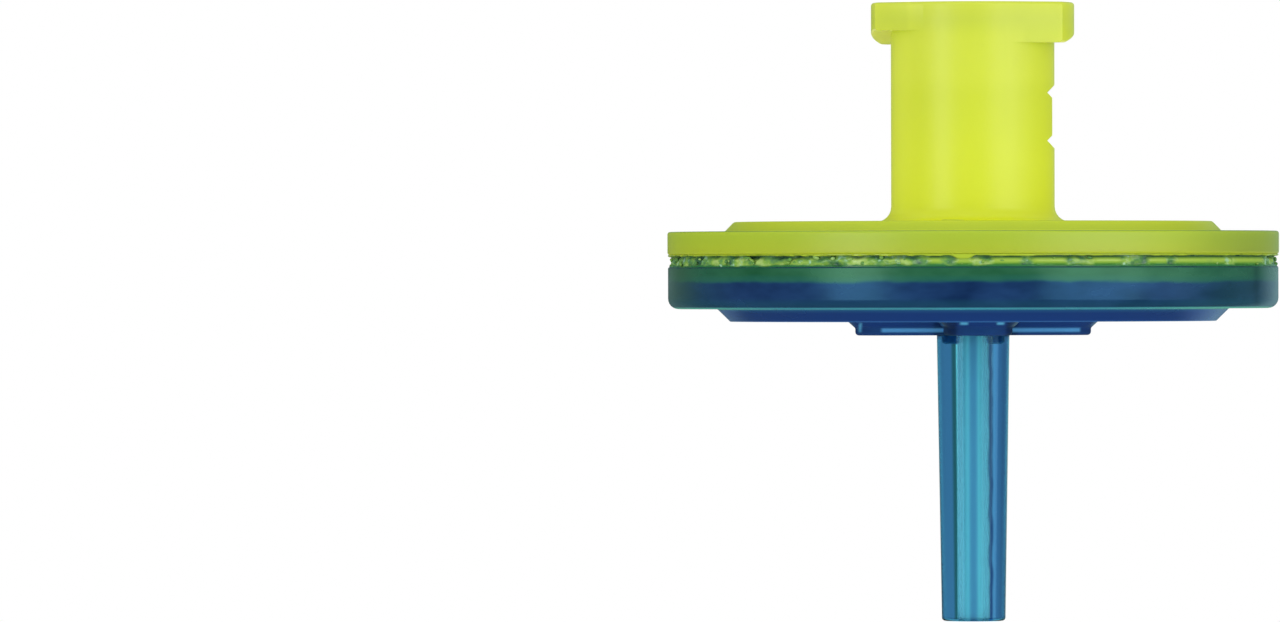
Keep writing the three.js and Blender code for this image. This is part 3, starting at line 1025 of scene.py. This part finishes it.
def milky_yellow():
    """The inlet shell: cloudy yellow-green plastic, darker and greener where the blue cup lies behind."""
    finish = Finish(
        "inlet_plastic",
        Roughness=0.38,
        IOR=1.49,
        Subsurface_Weight=0.5,
        Subsurface_Scale=0.002,
        Subsurface_Radius=(1.0, 0.9, 0.35),
    )
    grain, cloud = finish.skin(7000.0, 420.0, (1, 1, 0.6))
    # Painted light: the neck lighter and yellower towards its foot, greyer towards the mouth.
    tone = colour_ramp(finish.tree, ramp(finish.tree, finish.height, STEP_TOP, MOUTH), (
        (0.0, (220, 229, 28)),
        (0.45, (206, 218, 40)),
        (0.85, (196, 210, 52)),
        (0.92, (191, 205, 62)),
    ))
    colour = finish.painted(
        tone,
        (cloud, (220, 232, 80), 0.3),
        *neck_glow(finish),
        *rim_coats(finish),
        *flange_coats(finish),
    )
    finish.feed("Base Color", colour)
    finish.bump(grain, 0.00002, 0.25)
    return finish.material


def cup_wall_coats(finish, wall, wavy_height, cloud):
    """The cup's wall: its tones from the lip to the foot, and painted light and shade at its ends, where it
    is seen edge on.
    """
    tongue_foot = finish.zone(wavy_height, LEDGE + 0.02, LEDGE + 0.24, 0.1)
    foot = finish.below(finish.height, CUP_UNDER + 0.32, 0.16)
    near_end_shade_line = finish.zone(finish.across, CUP_WALL_EDGE - 0.36, CUP_WALL_EDGE - 0.22, 0.1)
    far_edge_shade_line = finish.below(finish.across, -CUP_WALL_EDGE, 0.08)
    glow = finish.beyond(finish.across, CUP_WALL_EDGE - 0.08, 0.2)
    aside = maths(finish.tree, "ABSOLUTE", finish.across)
    brim = finish.common(finish.beyond(finish.height, CUP_TOP - 0.05, 0.02), cloud)
    return (
        (finish.common(wall, tongue_foot), (34, 108, 108), 0.35),
        # Painted light: the wall greener towards both ends, the -X end more so.
        (finish.beyond(aside, CUP_SHADE_SIDE, 1.6), (44, 96, 88), 0.4),
        (finish.below(finish.across, CUP_FAR_SIDE, 1.0), (76, 112, 70), 0.5),
        (finish.common(wall, foot), (34, 92, 112), 0.4),
        # Painted shade: a dark line near the +X end and along the -X edge. Painted light: a pale glow along
        # the +X edge.
        (finish.common(wall, near_end_shade_line), (14, 46, 60), 0.35),
        (finish.common(wall, far_edge_shade_line), (12, 44, 16), 0.6),
        (finish.common(wall, glow), (132, 164, 186), 0.18),
        (brim, (24, 58, 84)),
    )


def lower_step_coats(finish):
    """The step under the cup, with painted sheen towards its ends, and painted highlights along the lines
    where it meets the wall and where it ends.
    """
    aside = maths(finish.tree, "ABSOLUTE", finish.across)
    step = finish.below(finish.height, CUP_UNDER - 0.03, 0.02)
    corner = finish.common(
        finish.zone(finish.height, CUP_UNDER - 0.02, CUP_UNDER + 0.05, 0.04),
        finish.either(
            finish.beyond(finish.radius, CUP_RADIUS - CUP_ROUNDING),
            finish.zone(finish.radius, LOWER_STEP_RADIUS - 0.06, LOWER_STEP_RADIUS + 0.06),
        ),
    )
    lower_edge_highlight = finish.zone(finish.height, LOWER_STEP_UNDER - 0.02, LOWER_STEP_UNDER + 0.03, 0.03)
    return (
        (step, (31, 67, 139)),
        (finish.zone(finish.height, CUP_UNDER - 0.1, CUP_UNDER, 0.09), (44, 98, 154)),
        # Painted sheen: the step lighter towards both ends.
        (finish.common(step, finish.beyond(aside, STEP_SHEEN_SIDE, 0.7)), (90, 126, 204), 0.6),
        # Painted highlights: a bright line where the step meets the wall, brighter and greener towards both
        # ends, and a light line along the step's lower edge.
        (corner, (82, 190, 208)),
        (finish.common(corner, finish.beyond(aside, CORNER_SHEEN_SIDE, 3.0)), (118, 232, 172), 0.85),
        (lower_edge_highlight, (70, 134, 206), 0.7),
    )


def hub_coats(finish):
    """The hub: painted shade at the roots of its arms, painted light in strips along their sides, and painted
    glints at their ends.
    """
    along, aside = finish.turned_by(HUB_TURN)
    from_middle, out = [maths(finish.tree, "ABSOLUTE", value) for value in (along, aside)]
    shifted = maths(finish.tree, "ABSOLUTE", maths(finish.tree, "SUBTRACT", along, STRIP_SHIFT))
    # Painted shade: darker where the arms leave the floor.
    root_shade = finish.common(
        finish.zone(from_middle, 0.95, 1.62, 0.1),
        finish.zone(finish.height, HUB_UNDER - 0.05, LOWER_STEP_UNDER - 0.04, 0.03),
    )
    # Painted light: lighter strips along the sides of the arms.
    light_strips = finish.common(
        finish.zone(shifted, STRIP_INNER_END, STRIP_OUTER_END, 0.09),
        finish.zone(finish.height, HUB_UNDER + 0.13, HUB_UNDER + 0.27),
        finish.zone(out, HUB_BAR_WIDTH / 2 - 0.27, HUB_BAR_WIDTH / 2 + 0.1),
    )
    # Painted glints near the ends of the arms.
    near_glints = finish.common(
        finish.zone(finish.height, LOWER_STEP_UNDER - 0.12, LOWER_STEP_UNDER - 0.03),
        finish.zone(from_middle, 0.56, 0.84, 0.08),
        finish.zone(out, HUB_BAR_LENGTH / 2 - 0.4, HUB_BAR_LENGTH / 2 + 0.25),
    )
    far_glint = finish.common(
        finish.zone(finish.height, HUB_UNDER + 0.12, LOWER_STEP_UNDER - 0.06, 0.06),
        finish.zone(along, 0.09 - HUB_BAR_LENGTH / 2, 0.19 - HUB_BAR_LENGTH / 2, 0.06),
        0.7,
    )
    return (
        (finish.below(finish.height, HUB_UNDER - 0.02, 0.01), (40, 84, 160)),
        (root_shade, (12, 30, 78), 0.7),
        (light_strips, (104, 188, 252)),
        (finish.either(near_glints, far_glint), (104, 204, 252)),
    )


def frosted_blue():
    """The outlet disc and its hub: deep blue and slightly frosted, green where the yellow lies behind."""
    finish = Finish("outlet_plastic", IOR=1.5, Transmission_Weight=0.25, Specular_IOR_Level=0.58)
    tree = finish.tree
    grain, cloudiness = finish.skin(5000.0, 350.0, (1, 1, 2.5))
    cloud = ramp(tree, cloudiness, 0.35, 0.65)
    wall = finish.beyond(finish.radius, CUP_RADIUS - 0.3)
    wavy_height = maths(tree, "ADD", finish.height, maths(tree, "MULTIPLY", cloud, 0.1))
    tongue = finish.common(wall, finish.beyond(wavy_height, LEDGE + 0.05, 0.09))
    colour = finish.painted(
        blended(tree, cloud, (18, 43, 88), (34, 66, 118)),
        (tongue, blended(tree, cloud, (30, 92, 58), (50, 116, 82))),
        *cup_wall_coats(finish, wall, wavy_height, cloud),
        *lower_step_coats(finish),
        *hub_coats(finish),
    )
    finish.feed("Base Color", colour)
    finish.feed("Specular Tint", blended(tree, tongue, (0.19, 0.68, 1.0, 1), (0.45, 1.0, 0.7, 1)))
    hub = finish.below(finish.height, LOWER_STEP_UNDER - 0.2)
    rough = ramp(tree, cloud, 0.0, 1.0, 0.2, 0.28)
    finish.feed("Roughness", maths(tree, "ADD", rough, finish.common(hub, 0.35)))
    finish.bump(grain, 0.00001, 0.2)
    return finish.material


def clear_blue():
    """The tube: clear polished blue, with faint drawn streaks along the axis, painted shade at its tip and
    one painted dark line down its -Y side.
    """
    finish = Finish(
        "outlet_plastic_clear",
        IOR=1.5,
        Transmission_Weight=1.0,
        Specular_Tint=(0.3, 0.8, 1.0, 1),
    )
    tree = finish.tree
    _, cloud = finish.skin(4000.0, 1500.0, (1, 1, 0.06))
    along, deep = finish.turned_by(VIEW_AZIMUTH)
    wander = add(tree, "ShaderNodeTexNoise", {
        "Vector": coordinates(tree), "Scale": 900.0, "Detail": 1.0,
    }).outputs["Fac"]
    wavering = maths(tree, "ADD", along, maths(tree, "MULTIPLY", wander, 0.16))
    # Painted shade: a wavering dark line down the -Y side of the tube.
    painted_dark_line = finish.common(finish.below(deep, 0.0, 0.1), finish.zone(wavering, 0.65, 0.82))
    finish.feed("Base Color", finish.painted(
        blended(tree, cloud, (96, 214, 238), (108, 226, 250)),
        # Painted shade: the tip darker.
        (finish.below(finish.height, TUBE_TIP + 0.12, 0.06), (8, 56, 104), 0.85),
        (painted_dark_line, (6, 52, 110)),
    ))
    finish.feed("Roughness", ramp(tree, cloud, 0.0, 1.0, 0.03, 0.07))
    finish.bump(cloud, 0.00002, 0.1)
    return finish.material


def bore_wall():
    """The wall of the bore, duller than the outside, with two soft streaks of painted shade down it, on its
    +Y and -Y sides.
    """
    finish = Finish("outlet_plastic_bore", IOR=1.5, Transmission_Weight=1.0)
    tree = finish.tree
    _, cloud = finish.skin(6000.0, 1800.0, (1, 1, 0.1))
    axes = separate_xyz(tree, coordinates(tree))
    angle = maths(tree, "ARCTAN2", axes["Y"], axes["X"])
    from_shade_streak = maths(tree, "SUBTRACT", angle, PAD_TURN + math.pi / 2)
    wave = maths(tree, "COSINE", maths(tree, "MULTIPLY", from_shade_streak, 2))
    finish.feed("Base Color", finish.painted(
        blended(tree, cloud, (232, 248, 250), (255, 255, 255)),
        # Painted shade: two soft darker streaks down the bore.
        (ramp(tree, wave, 0.64, 1.0, 0.0, 0.85, soft=True), (150, 142, 186)),
    ))
    finish.feed("Roughness", ramp(tree, cloud, 0.0, 1.0, 0.45, 0.6))
    return finish.material


def crumbly_melt(finish, grain, cloud, level):
    """The melt's crumbly stretches: green, yellow and glassy flakes with painted glints, and painted shade
    under the lip.
    """
    flakes = colour_ramp(finish.tree, cloud, (
        (0.32, (58, 102, 78)),
        (0.44, (98, 150, 78)),
        (0.54, (134, 176, 70)),
        (0.66, (180, 210, 124)),
    ))
    return finish.painted(
        flakes,
        # Painted glints, and painted shade towards the lip.
        (ramp(finish.tree, grain, 0.58, 0.68, 0.0, 0.85, soft=True), (158, 208, 172)),
        (ramp(finish.tree, level, 0.5, 0.85, 0.0, 0.6), (46, 88, 54)),
    )


def smooth_melt(finish, cloud, level):
    """The melt's smooth beads: yellow where they stand proud, green where they turn in at the foot, and
    darkened by painted shade where they turn in under the lip.
    """
    # Painted shade: the beads darken towards their top, under the lip.
    bead = colour_ramp(finish.tree, level, (
        (0.06, (58, 126, 62)),
        (0.2, (92, 156, 62)),
        (0.33, (148, 186, 62)),
        (0.5, (164, 192, 68)),
        (0.61, (146, 178, 62)),
        (0.73, (92, 128, 62)),
        (0.83, (52, 86, 76)),
    ))
    return finish.painted(bead, (cloud, (96, 150, 62), 0.35))


def weld_melt():
    """The melt of the weld: smooth beads with crumbly stretches between, darkened by painted shade where it
    lies deep.
    """
    finish = Finish("weld_plastic", Roughness=0.24, IOR=1.49)
    tree = finish.tree
    grain, cloud = finish.skin(2600.0, 1400.0, (1, 1, 1.6))
    level = maths(tree, "DIVIDE", maths(tree, "SUBTRACT", finish.height, CUP_TOP), WELD_HEIGHT)
    wobble = maths(tree, "MULTIPLY", maths(tree, "SUBTRACT", cloud, 0.5), 1.6)
    smooth = maths(tree, "ADD", finish.attribute("smooth"), wobble, clamp=True)
    finish.feed("Base Color", finish.painted(
        crumbly_melt(finish, grain, cloud, level),
        (smooth, smooth_melt(finish, cloud, level)),
        # Painted shade in the deep pits of the melt.
        (ramp(tree, finish.attribute("depth"), -0.2, -0.05, 0.85, 0.0), (58, 98, 78)),
        (finish.attribute("lip"), (164, 188, 44)),
        (finish.attribute("foot"), (44, 112, 60)),
    ))
    finish.bump(grain, 0.00004, 0.4)
    return finish.material


def weld_flakes():
    """Loose crumbs of the melt, each with its own shade from dark green to pale glassy green."""
    finish = Finish("weld_flakes", Roughness=0.2, IOR=1.49)
    grain, cloud = finish.skin(5200.0, 2600.0)
    shade_of_crumb = colour_ramp(finish.tree, finish.attribute("shade"), (
        (0.0, (74, 122, 66)),
        (0.35, (106, 158, 68)),
        (0.65, (140, 180, 72)),
        (0.9, (168, 206, 128)),
        (1.0, (160, 210, 180)),
    ))
    finish.feed("Base Color", finish.painted(shade_of_crumb, (cloud, (70, 124, 66), 0.5)))
    finish.bump(grain, 0.00002, 0.4)
    return finish.material


def membrane_film():
    """The membrane: dull white film."""
    finish = Finish("membrane", Roughness=0.9)
    grain, cloud = finish.skin(12000.0, 900.0)
    finish.feed("Base Color", blended(finish.tree, cloud, (236, 236, 230), (246, 246, 242)))
    finish.bump(grain, 0.00002, 0.4)
    return finish.material


def pale_floor():
    """The floor: plain off-white, hardly clouded."""
    finish = Finish("floor_white", Roughness=0.8)
    _, cloud = finish.skin(60.0, 8.0)
    finish.feed("Base Color", blended(finish.tree, cloud, (240, 240, 240), (246, 246, 246)))
    return finish.material


# ---------------------------------------------------------------- studio

# The camera looks level along the -Y side, a little round to +X, and is panned so that the filter
# sits to the right of the middle.
VIEW_AZIMUTH = math.radians(5.8)
VIEW_ROLL = math.radians(0.12)
VIEW_DISTANCE = 0.480
VIEW_HEIGHT = -10.6 * MM
VIEW_AIM_HEIGHT = -11.851 * MM
FRAME_WIDTH = 49.345 * MM
ASIDE = 12.842 * MM
SENSOR_WIDTH = 36.0

# Soft boxes: name, degrees round from the -Y side towards +X, width in metres and power in watts.
SOFT_BOXES = (
    ("left_box", -38, 0.1, 0.15),
    ("right_box", 50.5, 0.177, 0.2),
    ("side_box", 80, 0.12, 0.05),
)
BOX_ELEVATION = math.radians(3)
BOX_DISTANCE = 0.25
BOX_HEIGHT = 0.18
MIDDLE = Vector((0, 0, (MOUTH + TUBE_TIP) / 2 * MM))

# The tent's panels as glass shows them, from straight across the view to straight along it.
TENT_WHITE = (1, 1, 1, 1)
TENT_SHADE = (0.25, 0.22, 0.37, 1)
TENT_LEVEL = 0.9
SIDE_PANELS = (
    (0.0, TENT_WHITE),
    (0.1, (0.9, 0.9, 0.92, 1)),
    (0.22, (0.13, 0.13, 0.25, 1)),
)
RIGHT_PANELS = SIDE_PANELS + (
    (0.5, (0.2, 0.19, 0.33, 1)),
    (0.75, TENT_SHADE),
    (0.88, TENT_SHADE),
    (0.912, (0.1, 0.12, 0.12, 1)),
    (0.935, (0.1, 0.12, 0.12, 1)),
    (0.952, TENT_WHITE),
)
LEFT_PANELS = SIDE_PANELS + (
    (0.5, (0.18, 0.16, 0.3, 1)),
    (0.7, (0.17, 0.135, 0.26, 1)),
    (0.82, (0.215, 0.187, 0.345, 1)),
    (0.865, (0.33, 0.29, 0.5, 1)),
    (0.9, (0.38, 0.34, 0.55, 1)),
    (0.925, (0.3, 0.26, 0.42, 1)),
    (0.94, (0.2, 0.18, 0.3, 1)),
    (0.952, (0.2, 0.18, 0.3, 1)),
    (0.962, TENT_WHITE),
)

FLOOR_REACH = 5.0
FLOOR_HEIGHT = TUBE_TIP * MM - 0.6


def soft_box(name, degrees, width, power):
    """A soft box that faces the middle of the filter."""
    lamp = bpy.data.lights.new(name, "AREA")
    lamp.shape = "RECTANGLE"
    lamp.size, lamp.size_y = width, BOX_HEIGHT
    lamp.energy = power
    light = in_scene(name, lamp)
    across, along = at(math.cos(BOX_ELEVATION), math.radians(degrees) - math.pi / 2)
    away = Vector((across, along, math.sin(BOX_ELEVATION)))
    light.location = MIDDLE + away * BOX_DISTANCE
    light.rotation_euler = away.to_track_quat("Z", "Y").to_euler()
    light.visible_transmission = False


def seen_through_glass(tree, axes):
    """The tent as glass shows it: its panels at eye level, and white above and below them."""
    flat = combined_xyz(tree, X=axes["X"], Y=axes["Y"])
    heading = add(tree, "ShaderNodeVectorMath", {0: flat}, operation="NORMALIZE").outputs[0]
    lengthways = maths(tree, "ABSOLUTE", separate_xyz(tree, heading)["Y"])
    left, right = [colour_ramp(tree, lengthways, stops) for stops in (LEFT_PANELS, RIGHT_PANELS)]
    panels = blended(tree, ramp(tree, axes["X"], -0.02, 0.02, soft=True), left, right)
    steepness = maths(tree, "ABSOLUTE", axes["Z"])
    return blended(tree, ramp(tree, steepness, 0.13, 0.44, soft=True), panels, TENT_WHITE)


def seen_in_gloss(tree, axes):
    """The tent as gloss shows it: dim, with a lighter patch behind to the right and another overhead."""
    behind = ramp(tree, axes["Y"], 0.75, 0.97, 0.1, 0.5, soft=True)
    behind = maths(tree, "MULTIPLY", behind, ramp(tree, axes["X"], 0.0, 0.3, 0.4, 1.0, soft=True))
    overhead = ramp(tree, axes["Z"], 0.5, 0.9, 0.08, 0.5, soft=True)
    return blended(tree, maths(tree, "MAXIMUM", behind, overhead), (0, 0, 0, 1), (0.6, 1.0, 1.0, 1))


def white_tent():
    """A white surround: plain white to the eye, and to glass and gloss white where its panels hang."""
    world = bpy.data.worlds.new("white_tent")
    bpy.context.scene.world = world
    world.use_nodes = True
    world.cycles.sampling_method = "NONE"
    tree = world.node_tree
    axes = turned_axes(tree, coordinates(tree, "Generated"), VIEW_AZIMUTH)
    seen = ramp(tree, axes["X"], 0.3, 1.0, TENT_LEVEL, 0.68, soft=True)
    paths = add(tree, "ShaderNodeLightPath").outputs
    seen = blended(tree, paths["Is Glossy Ray"], seen, seen_in_gloss(tree, axes))
    seen = blended(tree, paths["Is Camera Ray"], seen, TENT_WHITE)
    seen = blended(tree, paths["Is Transmission Ray"], seen, seen_through_glass(tree, axes))
    tree.links.new(seen, tree.nodes["Background"].inputs["Color"])


def view_camera():
    """The camera, aimed past the filter so that it stands to the right of the middle."""
    lens = bpy.data.cameras.new("camera")
    lens.sensor_width = SENSOR_WIDTH
    lens.lens = SENSOR_WIDTH * VIEW_DISTANCE / FRAME_WIDTH
    lens.clip_start = 0.01
    lens.clip_end = 10
    camera = in_scene("camera", lens)
    toward = Vector((-math.sin(VIEW_AZIMUTH), math.cos(VIEW_AZIMUTH), 0))
    right = Vector((math.cos(VIEW_AZIMUTH), math.sin(VIEW_AZIMUTH), 0))
    camera.location = -toward * VIEW_DISTANCE + Vector((0, 0, VIEW_HEIGHT))
    aim = -right * ASIDE + Vector((0, 0, VIEW_AIM_HEIGHT))
    level = (camera.location - aim).to_track_quat("Z", "Y")
    camera.rotation_euler = (level @ Quaternion((0, 0, 1), -VIEW_ROLL)).to_euler()
    return camera


def floor_sheet():
    """A wide plain floor well below the filter, kept out of its gloss."""
    mesh = bpy.data.meshes.new("floor")
    low, high = -FLOOR_REACH, FLOOR_REACH
    corners = [(*point, FLOOR_HEIGHT) for point in ((low, low), (high, low), (high, high), (low, high))]
    mesh.from_pydata(corners, [], [(0, 1, 2, 3)])
    mesh.materials.append(pale_floor())
    sheet = in_scene("floor", mesh)
    sheet.visible_glossy = False
    return sheet


# ---------------------------------------------------------------- the filter and its surroundings

shell = inlet_shell()
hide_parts("inlet_housing")
cup = outlet_cup()
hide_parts("outlet_housing")
ring = weld_ring()
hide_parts("weld_bead")
flakes = weld_flakes()
crumbs = weld_crumbs(flakes)
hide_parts("weld_bead")
for piece, name in (
    (shell, "inlet_plastic"),
    (cup, "outlet_plastic"),
    (ring, "weld_plastic"),
    (crumbs, "weld_plastic"),
):
    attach(piece, "root")
for piece, finishes in (
    (shell, [milky_yellow()]),
    (cup, [frosted_blue(), clear_blue(), bore_wall()]),
    (ring, [weld_melt()]),
    (crumbs, [flakes]),
):
    piece.data.materials.clear()
    for finish in finishes:
        piece.data.materials.append(finish)
give_tube_its_finishes(cup)
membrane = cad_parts["filter_membrane"]
membrane.material_slots[0].material = membrane_film()

white_tent()
for name, degrees, width, power in SOFT_BOXES:
    soft_box(name, degrees, width, power)
bpy.context.scene.camera = view_camera()
floor = floor_sheet()

bpy.context.scene.view_settings.view_transform = "Standard"
